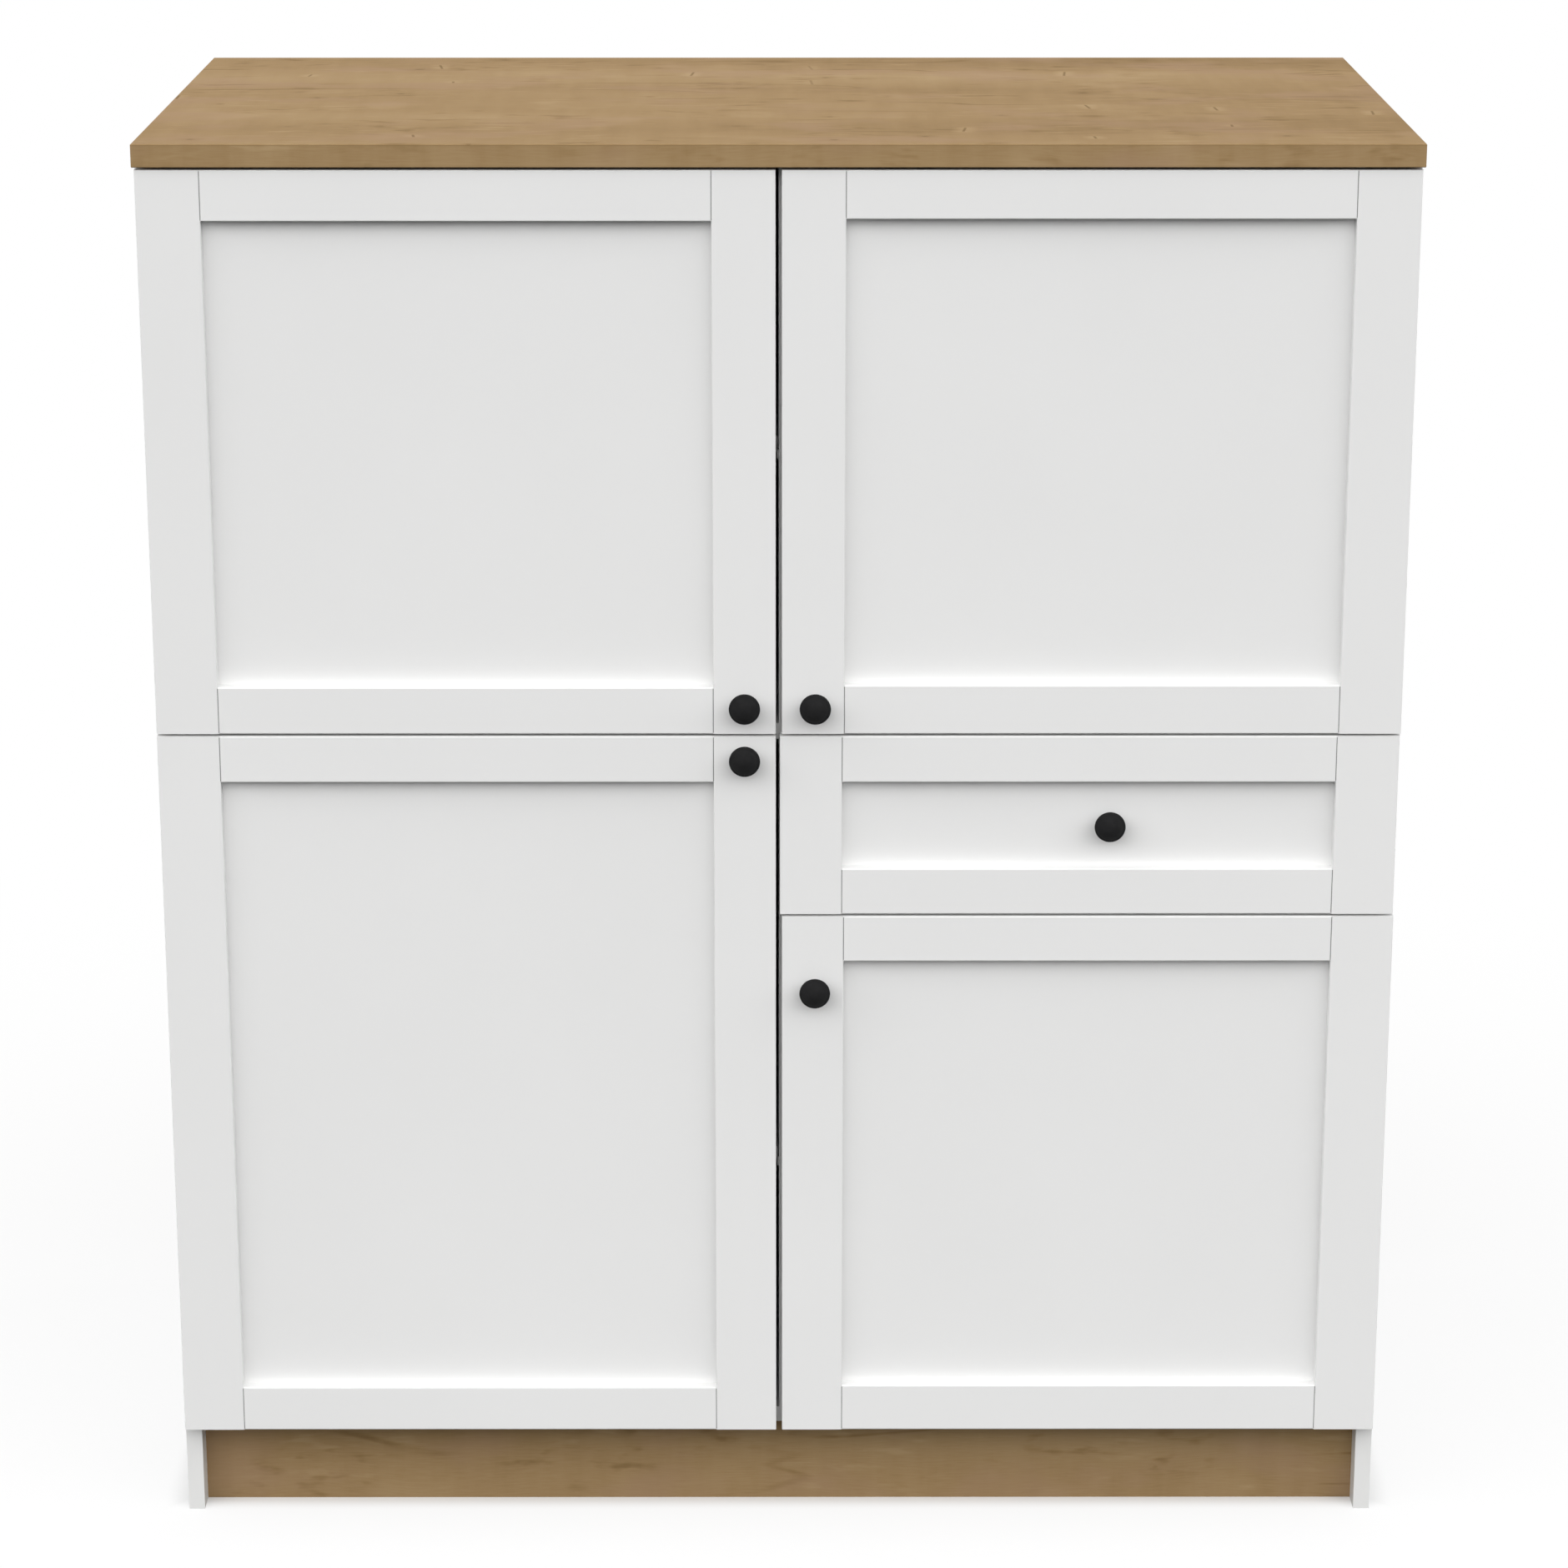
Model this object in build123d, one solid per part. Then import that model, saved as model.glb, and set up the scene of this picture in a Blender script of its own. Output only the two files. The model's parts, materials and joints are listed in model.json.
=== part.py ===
from build123d import *
import math
import os

# Buffet cabinet, millimetres. The origin is on the floor under the middle of the whole
# outline, X runs to the right, Y to the back and Z up. The doors face -Y.

# Worktop and overall outline
width = 1200.0
worktop_depth = 640.0
worktop_thickness = 22.0
worktop_overhang = 3.0         # worktop front edge past the door faces
worktop_edge_radius = 1.0

# Carcass boards
board = 16.0
back_sheet = 3.0
back_groove_inset = 15.0       # solid board left behind the back sheet
back_groove_depth = 6.0
groove_slack = 0.1             # each side of a sheet in its groove
groove_end_gap = 0.5           # sheet edge to the bottom of its groove
plinth_height = 97.0
plinth_setback = 27.0
plinth_rear_inset = 40.0
fixed_shelf_lap = 8.5          # how far the front below laps the edge of a fixed shelf
upper_shelf_height = 1092.0    # undersides of the adjustable shelves
lower_shelf_height = 370.0
shelf_setback = 20.0
shelf_edge_gap = 1.0

# Doors and drawer front
door_height = 543.0
drawer_front_height = 179.5
door_reveal = 2.0              # outer edge of a door inside its side panel's outer face
drawer_side_gap = 1.0          # each side of the drawer front in its half of the fronts
front_gap = 2.5
centre_gap = 5.8
top_gap = 2.5
door_gap = 3.0                 # between the backs of the doors and the carcass edges
frame_thickness = 18.0
stile_width = 60.0
rail_wide = 48.0
rail_narrow = 46.0
panel_recess = 12.0
panel_thickness = 3.0
panel_groove_depth = 9.0
panel_end_gap = 1.0            # panel edge to the bottom of its groove
tenon_length = 8.0
tenon_shoulder = 2.0
front_edge_radius = 1.2
back_edge_radius = 0.8
swing_edge_radius = 3.0        # outer back edge, which swings past the carcass

# Knobs, heights measured from the foot
knob_diameter = 30.0
knob_projection = 26.0
knob_neck = 9.0
knob_foot = 14.0
knob_foot_height = 1.2
knob_neck_start = 5.0
knob_neck_end = 9.0
knob_rim_low = 14.0
knob_rim_high = 20.0
knob_rim_round = 2.4
knob_bore = 4.1
knob_bore_depth = 12.0
knob_screw_spare = 2.0         # bore left empty past the end of the screw
knob_inset_left = 30.0         # knob centre from the free edge of a left door
knob_inset_right = 32.0
upper_knob_height = 29.0       # above the bottom edge of an upper door
tall_knob_drop = 20.5          # below the top edge of the tall door
lower_knob_drop = 73.5         # below the top edge of the lower right door
drawer_knob_offset = 21.0      # right of the middle of the drawer front

# Concealed single-pivot hinges, in the frame of a door: x from its outer edge, y from
# its back face
hinge_end_distance = 100.0
cup_diameter = 35.0
cup_edge = 4.0
cup_depth = 13.5
cup_wall = 1.0
cup_floor = 0.8
cup_slack = 0.05
cup_floor_slack = 0.1
cup_wing = 1.0
cup_wing_width = 23.0
cup_wing_margin = 6.0          # wing past a screw
wing_corner = 4.0
cup_screw_spacing = 48.0
cup_screw_offset = 6.0
cheek_start = 6.0              # inner faces of the cheeks from the middle of the cup
cheek_radius = 2.8
pivot_x = 9.2
pivot_depth = 9.3
pin_radius = 1.5
pin_slack = 0.05
pin_end_gap = 0.1
eye_radius = 3.0
arm_width = 10.0
arm_thickness = 2.4
arm_crank = 12.6               # pivot to the middle of the straight arm
arm_bend = 3.0
arm_channel_width = 16.0
arm_channel_wall = 1.4
arm_channel_start = 12.0
arm_length = 62.0
arm_slot_length = 10.0
arm_slot_width = 4.4
arm_screw_offset = 9.0
plate_line = 37.0              # screw line of a hinge plate behind the carcass edge
plate_base = 1.6
plate_length = 36.0
plate_slack = 0.2
plate_screw_spacing = 32.0
plate_wing_margin = 6.0
plate_wing_depth = 14.0

# Screws
screw_radius = 2.0
screw_head_radius = 3.6
screw_head_height = 1.6
board_screw_length = 12.0
arm_screw_length = 4.0
slide_screw_length = 9.0
stile_screw_share = 0.7        # part of a stile's thickness that a drawer screw enters
hole_slack = 0.05
hole_end_gap = 0.4

# Shelf pins
pin_line = 37.0                # rows of pin holes from the front and the back sheet
hole_pitch = 32.0
shelf_pin_radius = 2.5
shelf_pin_depth = 7.0
shelf_pin_reach = 8.0
shelf_pin_tab = 2.4
shelf_pin_plate = 1.5
shelf_pin_width = 9.0
shelf_pin_step = 0.5           # between the tab and the shank
shelf_pin_margin = 1.0

# Cam locks and cam bolts
cam_diameter = 15.0
cam_depth = 12.5
cam_distance = 34.0
cam_line = 70.0
cam_shift = 24.0               # keeps bolts from two sides of the divider apart
cam_slot_length = 9.0
cam_slot_width = 1.6
cam_slot_depth = 2.0
cam_throat = 8.0
bolt_radius = 3.0
bolt_slack = 0.6
bolt_end = 4.0                 # end of the stem to the middle of the cam
bolt_head_radius = 3.6
bolt_head_length = 3.0
bolt_thread_radius = 2.5
bolt_thread_length = 11.0

# Drawer and roller runners
runner_length = 500.0
runner_sheet = 1.2
runner_side_space = 12.5
runner_height = 36.0
runner_lip = 10.5              # how far the rail's flanges reach from its board
runner_floor_gap = 6.0         # rail above the drawer deck
runner_setback = 2.0
slide_flange_height = 18.6     # underside of the flange that rides on the front roller
slide_foot_height = 2.0
slide_foot_width = 12.0
slide_tip_gap = 0.8
roller_gap = 0.2
roller_width = 7.8
roller_edge = 0.6
roller_inset = 14.0
roller_pin_radius = 2.5
roller_cap_radius = 4.0
roller_cap = 0.5
roller_cap_gap = 0.5           # cap to the steel facing it
roller_side_gap = 0.3          # roller to its cap
rail_screw_height = 27.0
rail_screw_shares = (0.1, 0.5, 0.9)
slide_screw_shares = (0.16, 0.84)
drawer_side = 12.0
drawer_box_height = 120.0
drawer_bottom = 4.0
drawer_bottom_height = 10.0
drawer_groove_depth = 5.0
drawer_screw_inset = 8.0
drawer_screw_shares = (0.3, 0.8)

# Bumpers
bumper_radius = 2.2
bumper_height = 2.8
bumper_edge = 30.0

# Heights worked out from the sizes above
lower_top = plinth_height + door_height
drawer_low = lower_top + front_gap
drawer_high = drawer_low + drawer_front_height
upper_low = drawer_high + front_gap
carcass_top = upper_low + door_height + top_gap
total_height = carcass_top + worktop_thickness
tall_door_height = drawer_high - plinth_height
bottom_top = plinth_height + board
fixed_shelf_low = drawer_high - fixed_shelf_lap
deck_low = lower_top - fixed_shelf_lap
runner_low = deck_low + board + runner_floor_gap
box_low = runner_low + slide_foot_height + runner_sheet
box_high = box_low + drawer_box_height

# Places across the width
half = width / 2
side_inner = half - board
divider_left = 0.0
divider_right = board
front_half = half - door_reveal
door_width = front_half - centre_gap / 2
drawer_middle = front_half / 2
drawer_front_width = front_half - 2 * drawer_side_gap
left_bay = (-side_inner, divider_left)
right_bay = (divider_right, side_inner)

# Places from front to back
worktop_front = (knob_projection - worktop_overhang - worktop_depth) / 2
worktop_back = worktop_front + worktop_depth
door_back = worktop_front + worktop_overhang + frame_thickness
carcass_front = door_back + door_gap
sheet_back = worktop_back - back_groove_inset
sheet_front = sheet_back - back_sheet
panel_front = panel_recess - frame_thickness
rail_front = carcass_front + runner_setback
box_back = door_back + runner_length

# Hinges and rollers
hinge_wall = board - door_reveal
cup_x = cup_edge + cup_diameter / 2
cup_radius = cup_diameter / 2 - cup_slack
arm_x = pivot_x + arm_crank
plate_y = door_gap + plate_line
arm_screw_y = plate_y + arm_screw_offset
roller_radius = (slide_flange_height - runner_sheet) / 2 - roller_gap
roller_height = runner_sheet + roller_gap + roller_radius
front_roller_y = rail_front + roller_inset
rear_roller_y = box_back - roller_inset

parts = {}


def block(x0, x1, y0, y1, z0, z1):
    """A box between two opposite corners."""
    corner = Pos(min(x0, x1), min(y0, y1), min(z0, z1))
    return corner * Box(abs(x1 - x0), abs(y1 - y0), abs(z1 - z0), align=(Align.MIN,) * 3)


def rod(start, direction, length, radius):
    """A round bar from a point along a direction."""
    plane = Plane(origin=start, z_dir=direction)
    return plane * Cylinder(radius, length, align=(Align.CENTER, Align.CENTER, Align.MIN))


def screw(seat, direction, length):
    """A screw whose head sits on a seat and whose shank runs along a direction."""
    back = tuple(-part for part in direction)
    return rod(seat, direction, length, screw_radius) + rod(seat, back, screw_head_height, screw_head_radius)


def screw_hole(seat, direction, length):
    """The hole that a screw's shank fills."""
    return rod(seat, direction, length, screw_radius + hole_slack)


def add(name, *solids):
    """Keeps solids under a node's name."""
    parts.setdefault(name, []).extend(solids)


# Board fittings

def cam_set(origin, along, into):
    """A cam, its bolt, their room in the board and the bolt's hole in the other board.
    The bolt starts at origin and runs along; the cam goes into the board's face."""
    frame = Plane(origin=origin, x_dir=along, z_dir=into)
    low = (Align.CENTER, Align.CENTER, Align.MIN)
    centre = frame * Pos(cam_distance, 0, 0)
    disc = Cylinder(cam_diameter / 2, cam_depth, align=low)
    slot = Box(cam_slot_length, cam_slot_width, cam_slot_depth, align=low)
    throat = Pos(-cam_diameter / 2, 0, board / 2) * Box(cam_diameter, cam_throat, cam_throat)
    lie = frame * Pos(0, 0, board / 2) * Rot(0, 90, 0)
    stem_length = cam_distance - bolt_end
    stem = Cylinder(bolt_radius, stem_length, align=low)
    head = Pos(0, 0, stem_length) * Cylinder(bolt_head_radius, bolt_head_length, align=low)
    thread = Pos(0, 0, -bolt_thread_length) * Cylinder(bolt_thread_radius, bolt_thread_length, align=low)
    pocket = centre * Cylinder(cam_diameter / 2 + hole_slack, cam_depth + groove_slack, align=low)
    bore = lie * Cylinder(bolt_radius + bolt_slack, cam_distance, align=low)
    deep = bolt_thread_length + hole_end_gap
    hole = lie * Pos(0, 0, -deep) * Cylinder(bolt_thread_radius + hole_slack, deep, align=low)
    return centre * (disc - slot - throat), lie * (thread + stem + head), pocket + bore, hole


def add_cams(origin, along, into):
    """Adds a cam and its bolt, and returns the cuts of the two boards."""
    cam, bolt, room, hole = cam_set(origin, along, into)
    add("cam_locks", cam)
    add("cam_bolts", bolt)
    return room, hole


def cam_rows(shift=0.0):
    return (carcass_front + cam_line + shift, sheet_front - cam_line - shift)


def shelf_pin(wall_x, y, underside, into):
    """A spade pin in a wall, with its tab under a shelf. into is the way into the bay."""
    centre_z = underside - shelf_pin_tab - shelf_pin_step - shelf_pin_radius
    foot_z = centre_z - shelf_pin_radius - shelf_pin_margin
    side = shelf_pin_width / 2
    shank = rod((wall_x, y, centre_z), (-into, 0, 0), shelf_pin_depth, shelf_pin_radius)
    tab = block(wall_x, wall_x + into * shelf_pin_reach, y - side, y + side,
                underside - shelf_pin_tab, underside)
    plate = block(wall_x, wall_x + into * shelf_pin_plate, y - side, y + side, foot_z, underside)
    holes = [rod((wall_x, y, centre_z + step * hole_pitch), (-into, 0, 0),
                 shelf_pin_depth + hole_end_gap, shelf_pin_radius + hole_slack) for step in (-1, 0, 1)]
    return shank + tab + plate, holes


# Framed doors, drawn as a left door: x from the outer edge, back face at y = 0

def frame_section(piece_width, outer_back_radius):
    """Section of a stile or rail: rounded long edges and a groove for the panel."""
    outline = Pos(piece_width / 2, -frame_thickness / 2) * Rectangle(piece_width, frame_thickness)
    corners = (((0, -frame_thickness), front_edge_radius), ((piece_width, -frame_thickness), front_edge_radius),
               ((0, 0), outer_back_radius), ((piece_width, 0), back_edge_radius))
    for place, radius in corners:
        outline = fillet(outline.vertices().sort_by_distance(place)[0], radius)
    opening = panel_thickness + 2 * groove_slack
    middle = panel_front + panel_thickness / 2
    groove = Pos(piece_width - panel_groove_depth / 2, middle) * Rectangle(panel_groove_depth, opening)
    return outline - groove


def stile(height):
    """An upright frame piece with square-cut ends."""
    return extrude(frame_section(stile_width, swing_edge_radius), height)


def end_corner(start, into, piece_width):
    """What rounding takes off the front edge of a rail's end. into is the way into the rail."""
    middle = start + into * front_edge_radius
    spare = front_edge_radius
    depth = front_edge_radius - frame_thickness
    corner = block(start, middle, -frame_thickness, depth, -spare, piece_width + spare)
    return corner - rod((middle, depth, -spare), (0, 0, 1), piece_width + 2 * spare, front_edge_radius)


def rail(length, piece_width):
    """A cross piece with a stub tenon at each end, its outer edge down."""
    bar = Pos(length, 0, 0) * Rot(0, -90, 0) * extrude(frame_section(piece_width, back_edge_radius), length)
    bar -= end_corner(0, 1, piece_width) + end_corner(length, -1, piece_width)
    panel_back = panel_front + panel_thickness
    for start in (-tenon_length, length):
        bar += block(start, start + tenon_length, panel_front, panel_back,
                     tenon_shoulder, piece_width - panel_groove_depth)
    return bar


def framed_front(front_width, height, top_rail, bottom_rail):
    """Two stiles, two rails and the panel of one front, standing on z = 0."""
    hinge_stile = stile(height)
    free_stile = Pos(front_width, 0, 0) * stile(height).mirror(Plane.YZ)
    rail_length = front_width - 2 * stile_width
    low_rail = Pos(stile_width, 0, 0) * rail(rail_length, bottom_rail)
    high_rail = Pos(stile_width, 0, height) * rail(rail_length, top_rail).mirror(Plane.XY)
    seat = panel_groove_depth - panel_end_gap
    panel = block(stile_width - seat, front_width - stile_width + seat,
                  panel_front, panel_front + panel_thickness,
                  bottom_rail - seat, height - top_rail + seat)
    return hinge_stile, free_stile, low_rail, high_rail, panel


def knob():
    """A turned knob on y = 0, reaching to -y, with a bore for its screw."""
    rim = knob_diameter / 2
    shoulder = rim - knob_rim_round
    neck = knob_neck / 2
    foot = knob_foot / 2
    rim_middle = (knob_rim_low + knob_rim_high) / 2
    outline = [
        Line((0, 0), (foot, 0)),
        Line((foot, 0), (foot, knob_foot_height)),
        TangentArc((neck, knob_neck_start), (foot, knob_foot_height), tangent=(0, -1)),
        Line((neck, knob_neck_start), (neck, knob_neck_end)),
        TangentArc((shoulder, knob_rim_low), (neck, knob_neck_end), tangent=(-1, 0)),
        ThreePointArc((shoulder, knob_rim_low), (rim, rim_middle), (shoulder, knob_rim_high)),
        TangentArc((0, knob_projection), (shoulder, knob_rim_high), tangent=(1, 0)),
        Line((0, knob_projection), (0, 0)),
    ]
    turned = revolve(make_face(outline), Axis.Y).mirror(Plane.XZ)
    return turned - rod((0, 0, 0), (0, -1, 0), knob_bore_depth, knob_bore / 2)


def knob_screw(depth_behind):
    """The knob's screw, its head depth_behind the knob's foot."""
    return screw((0, depth_behind, 0), (0, -1, 0), depth_behind + knob_bore_depth - knob_screw_spare)


# Concealed hinges, in the same frame as a left door, centred on z = 0

def hinge_cup():
    """Steel cup with two cheeks and two screw wings, and the pin across it."""
    wing_half = cup_screw_spacing / 2 + cup_wing_margin
    core = rod((cup_x, 0, 0), (0, -1, 0), cup_depth, cup_radius)
    wings = block(cup_x - cup_wing_width / 4, cup_x + cup_wing_width * 3 / 4, 0, cup_wing,
                  -wing_half, wing_half)
    wings = fillet(wings.edges().filter_by(Axis.Y), wing_corner)
    hollow = rod((cup_x, cup_wing, 0), (0, -1, 0), cup_depth + cup_wing - cup_floor, cup_radius - cup_wall)
    cup = core + wings - hollow
    for side in (-1, 1):
        cheek = block(pivot_x - cheek_radius, pivot_x + cheek_radius, -cup_depth,
                      -pivot_depth + cheek_radius, side * cheek_start, side * cup_radius)
        cup += cheek & core
        seat = (cup_x + cup_screw_offset, cup_wing, side * cup_screw_spacing / 2)
        cup -= screw_hole(seat, (0, -1, 0), cup_wing)
    reach = cup_x - pivot_x + pin_radius
    pin_half = math.sqrt(cup_radius ** 2 - reach ** 2) - pin_end_gap
    pin = rod((pivot_x, -pivot_depth, -pin_half), (0, 0, 1), 2 * pin_half, pin_radius)
    return cup - pin, pin


def cup_screw_seats(y):
    x = cup_x + cup_screw_offset
    return [(x, y, side * cup_screw_spacing / 2) for side in (-1, 1)]


def cup_pocket():
    """The pocket of a cup and the holes of its screws."""
    pocket = rod((cup_x, 0, 0), (0, -1, 0), cup_depth + cup_floor_slack, cup_diameter / 2)
    for seat in cup_screw_seats(0):
        pocket += screw_hole(seat, (0, -1, 0), board_screw_length)
    return pocket


def hinge_arm():
    """Goose-neck arm: an eye round the pin, a crank out of the cup and a channel."""
    path = FilletPolyline((pivot_x, -pivot_depth), (arm_x, -pivot_depth), (arm_x, arm_length), radius=arm_bend)
    neck = extrude(trace(path, arm_thickness), arm_width / 2, both=True)
    eye = Pos(pivot_x, -pivot_depth, 0) * Cylinder(eye_radius, arm_width)
    top = arm_x + arm_thickness / 2
    low = hinge_wall + plate_base + plate_slack
    side = arm_channel_width / 2
    inside = side - arm_channel_wall
    channel = block(low, top, arm_channel_start, arm_length, -side, side)
    hollow = block(low, top - arm_thickness, arm_channel_start, arm_length, -inside, inside)
    arm = neck + eye + (channel - hollow)
    arm -= Pos(pivot_x, -pivot_depth, 0) * Cylinder(pin_radius + pin_slack, arm_width)
    slot = extrude(Plane.YZ * Pos(arm_screw_y, 0) * SlotOverall(arm_slot_length, arm_slot_width), 2 * arm_x)
    return arm - slot


def hinge_plate():
    """Mounting plate: a rail under the arm and two wings with a screw each."""
    rail_top = arm_x - arm_thickness / 2 - plate_slack
    side = arm_channel_width / 2 - arm_channel_wall - plate_slack
    wing_half = plate_screw_spacing / 2 + plate_wing_margin
    body = block(hinge_wall, rail_top, plate_y - plate_length / 2, plate_y + plate_length / 2, -side, side)
    wings = block(hinge_wall, hinge_wall + plate_base, plate_y - plate_wing_depth / 2,
                  plate_y + plate_wing_depth / 2, -wing_half, wing_half)
    plate = body + fillet(wings.edges().filter_by(Axis.X), wing_corner)
    for seat in plate_screw_seats(hinge_wall):
        plate -= screw_hole(seat, (1, 0, 0), plate_base)
    return plate - screw_hole((rail_top, arm_screw_y, 0), (-1, 0, 0), arm_screw_length)


def plate_screw_seats(x):
    return [(x, plate_y, side * plate_screw_spacing / 2) for side in (-1, 1)]


def plate_screws():
    """The two screws that hold a plate, and the one that holds its arm."""
    seats = plate_screw_seats(hinge_wall + plate_base)
    screws = [screw(seat, (-1, 0, 0), board_screw_length) for seat in seats]
    arm_screw = screw((arm_x + arm_thickness / 2, arm_screw_y, 0), (-1, 0, 0), arm_thickness + arm_screw_length)
    return screws + [arm_screw]


def plate_holes():
    """The holes that the plate's screws take in the side panel."""
    deep = board_screw_length - plate_base + hole_end_gap
    return [screw_hole(seat, (-1, 0, 0), deep) for seat in plate_screw_seats(hinge_wall)]


# Roller runners, drawn on a left wall: x into the bay from the wall, z up from the
# bottom of the rail

def sheet_section(points, y, length):
    """Sheet steel bent along points of x and z, from y to y + length."""
    plane = Plane(origin=(0, y, 0), x_dir=(1, 0, 0), z_dir=(0, -1, 0))
    return extrude(plane * trace(Polyline(*points), runner_sheet), -length)


def roller_pin(start, cap, y):
    """A roller's pin from a sheet at x = start, with a cap ending at x = cap."""
    way = 1 if cap > start else -1
    pin = rod((start, y, roller_height), (way, 0, 0), abs(cap - start), roller_pin_radius)
    return pin + rod((cap, y, roller_height), (-way, 0, 0), roller_cap, roller_cap_radius)


def runner_rail():
    """Channel screwed to the wall, with the front roller's pin."""
    mid = runner_sheet / 2
    points = [(runner_lip, mid), (mid, mid), (mid, runner_height - mid), (runner_lip, runner_height - mid)]
    rail_piece = sheet_section(points, rail_front, runner_length)
    for y in rail_screw_rows():
        rail_piece -= screw_hole((0, y, rail_screw_height), (1, 0, 0), runner_sheet)
    cap = runner_side_space - runner_sheet - roller_cap_gap
    return rail_piece + roller_pin(runner_sheet, cap, front_roller_y)


def rail_screw_rows():
    return [rail_front + share * runner_length for share in rail_screw_shares]


def drawer_slide():
    """Angle under the drawer side, its flange over the front roller, and the rear pin."""
    mid = runner_sheet / 2
    web = runner_side_space - mid
    foot = slide_foot_height + mid
    flange = slide_flange_height + mid
    points = [(runner_side_space + slide_foot_width, foot), (web, foot), (web, flange),
              (runner_sheet + slide_tip_gap, flange)]
    slide = sheet_section(points, door_back, runner_length)
    for y in slide_screw_rows():
        seat = (runner_side_space + drawer_side / 2, y, slide_foot_height)
        slide -= screw_hole(seat, (0, 0, 1), runner_sheet)
    return slide + roller_pin(runner_side_space - runner_sheet, runner_sheet + roller_cap_gap, rear_roller_y)


def slide_screw_rows():
    return [door_back + share * runner_length for share in slide_screw_shares]


def roller(y, start):
    """A nylon roller whose nearer face is at x = start."""
    wheel = rod((start, y, roller_height), (1, 0, 0), roller_width, roller_radius)
    wheel = fillet(wheel.edges().filter_by(GeomType.CIRCLE), roller_edge)
    return wheel - rod((start, y, roller_height), (1, 0, 0), roller_width, roller_pin_radius + pin_slack)


# Assembly

def put_left(shape, z=0.0):
    """Places a shape of the door frame on the left side of the cabinet."""
    return Pos(-front_half, door_back, z) * shape


def put_right(shape, z=0.0):
    """Places a shape of the door frame mirrored on the right side of the cabinet."""
    return Pos(front_half, door_back, z) * shape.mirror(Plane.YZ)


def on_walls(shape):
    """A runner piece on the divider and its mirror image on the right side panel."""
    left = Pos(divider_right, 0, runner_low) * shape
    right = Pos(side_inner, 0, runner_low) * shape.mirror(Plane.YZ)
    return left, right


def hinge_rows(low, height):
    return (low + hinge_end_distance, low + height - hinge_end_distance)


def build_door(name, put, low, height, rails, knob_height, knob_inset):
    """One door with its knob, hinge cups and screws. rails are top and bottom."""
    hinge_stile, free_stile, low_rail, high_rail, panel = framed_front(door_width, height, *rails)
    knob_at = Pos(door_width - knob_inset, -frame_thickness, knob_height)
    free_stile -= knob_at * screw_hole((0, 0, 0), (0, 1, 0), frame_thickness)
    cups = []
    screws = [knob_at * knob_screw(frame_thickness)]
    for z in hinge_rows(0, height):
        row = Pos(0, 0, z)
        hinge_stile -= row * cup_pocket()
        cups.extend(row * piece for piece in hinge_cup())
        screws.extend(row * screw(seat, (0, -1, 0), board_screw_length) for seat in cup_screw_seats(cup_wing))
    add(name + "_stiles", put(hinge_stile, low), put(free_stile, low))
    add(name + "_rails", put(low_rail, low), put(high_rail, low))
    add(name + "_panel", put(panel, low))
    add(name + "_knob", put(knob_at * knob(), low))
    add(name + "_hinge_cups", *[put(piece, low) for piece in cups])
    add(name + "_screws", *[put(piece, low) for piece in screws])


def build_hinge_side(put, low, height):
    """Arms, plates and screws of one door. Returns the holes in its side panel."""
    holes = []
    for z in hinge_rows(low, height):
        add("hinge_arms", put(hinge_arm(), z))
        add("hinge_plates", put(hinge_plate(), z))
        add("carcass_screws", *[put(piece, z) for piece in plate_screws()])
        holes.extend(put(hole, z) for hole in plate_holes())
    return holes


def build_doors(cuts):
    """Four doors and their hinges."""
    doors = (
        ("door_ul", "left", upper_low, door_height, (rail_wide, rail_narrow),
         upper_knob_height, knob_inset_left),
        ("door_ur", "right", upper_low, door_height, (rail_narrow, rail_wide),
         upper_knob_height, knob_inset_right),
        ("door_ll", "left", plinth_height, tall_door_height, (rail_narrow, rail_narrow),
         tall_door_height - tall_knob_drop, knob_inset_left),
        ("door_lr", "right", plinth_height, door_height, (rail_narrow, rail_wide),
         door_height - lower_knob_drop, knob_inset_right),
    )
    for name, side, low, height, rails, knob_height, knob_inset in doors:
        put = put_left if side == "left" else put_right
        build_door(name, put, low, height, rails, knob_height, knob_inset)
        cuts[side].extend(build_hinge_side(put, low, height))


def bay_walls(bay):
    """The two walls of a bay: place, name and the way into the bay."""
    if bay == left_bay:
        return ((bay[0], "left", 1), (bay[1], "divider", -1))
    return ((bay[0], "divider", 1), (bay[1], "right", -1))


def build_shelf_pins(cuts):
    """Pins of the adjustable shelves, and the holes in the walls."""
    for bay in (left_bay, right_bay):
        for underside in (upper_shelf_height, lower_shelf_height):
            for wall_x, wall, into in bay_walls(bay):
                for y in (carcass_front + pin_line, sheet_front - pin_line):
                    pin, holes = shelf_pin(wall_x, y, underside, into)
                    add("shelf_pins", pin)
                    cuts[wall].extend(holes)


def fixed_board(name, bay, low, cuts):
    """A fixed shelf between two walls, held by four cams in its underside."""
    shelf = block(*bay, carcass_front, sheet_front - groove_slack, low, low + board)
    shift = cam_shift if bay == right_bay else 0.0
    for wall_x, wall, into in bay_walls(bay):
        for y in cam_rows(shift):
            room, hole = add_cams((wall_x, y, low), (into, 0, 0), (0, 0, 1))
            shelf -= room
            cuts[wall].append(hole)
    add(name, shelf)


def build_worktop(cuts):
    """Worktop held from below by two cams in each upright."""
    top = block(-half, half, worktop_front, worktop_back, carcass_top, total_height)
    top = fillet(top.edges().filter_by(Axis.X) + top.edges().filter_by(Axis.Y), worktop_edge_radius)
    for x, wall, into in ((-side_inner, "left", -1), (side_inner, "right", 1), (divider_right, "divider", -1)):
        for y in cam_rows():
            room, hole = add_cams((x, y, carcass_top), (0, 0, -1), (into, 0, 0))
            cuts[wall].append(room)
            top -= hole
    add("worktop", top)


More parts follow.
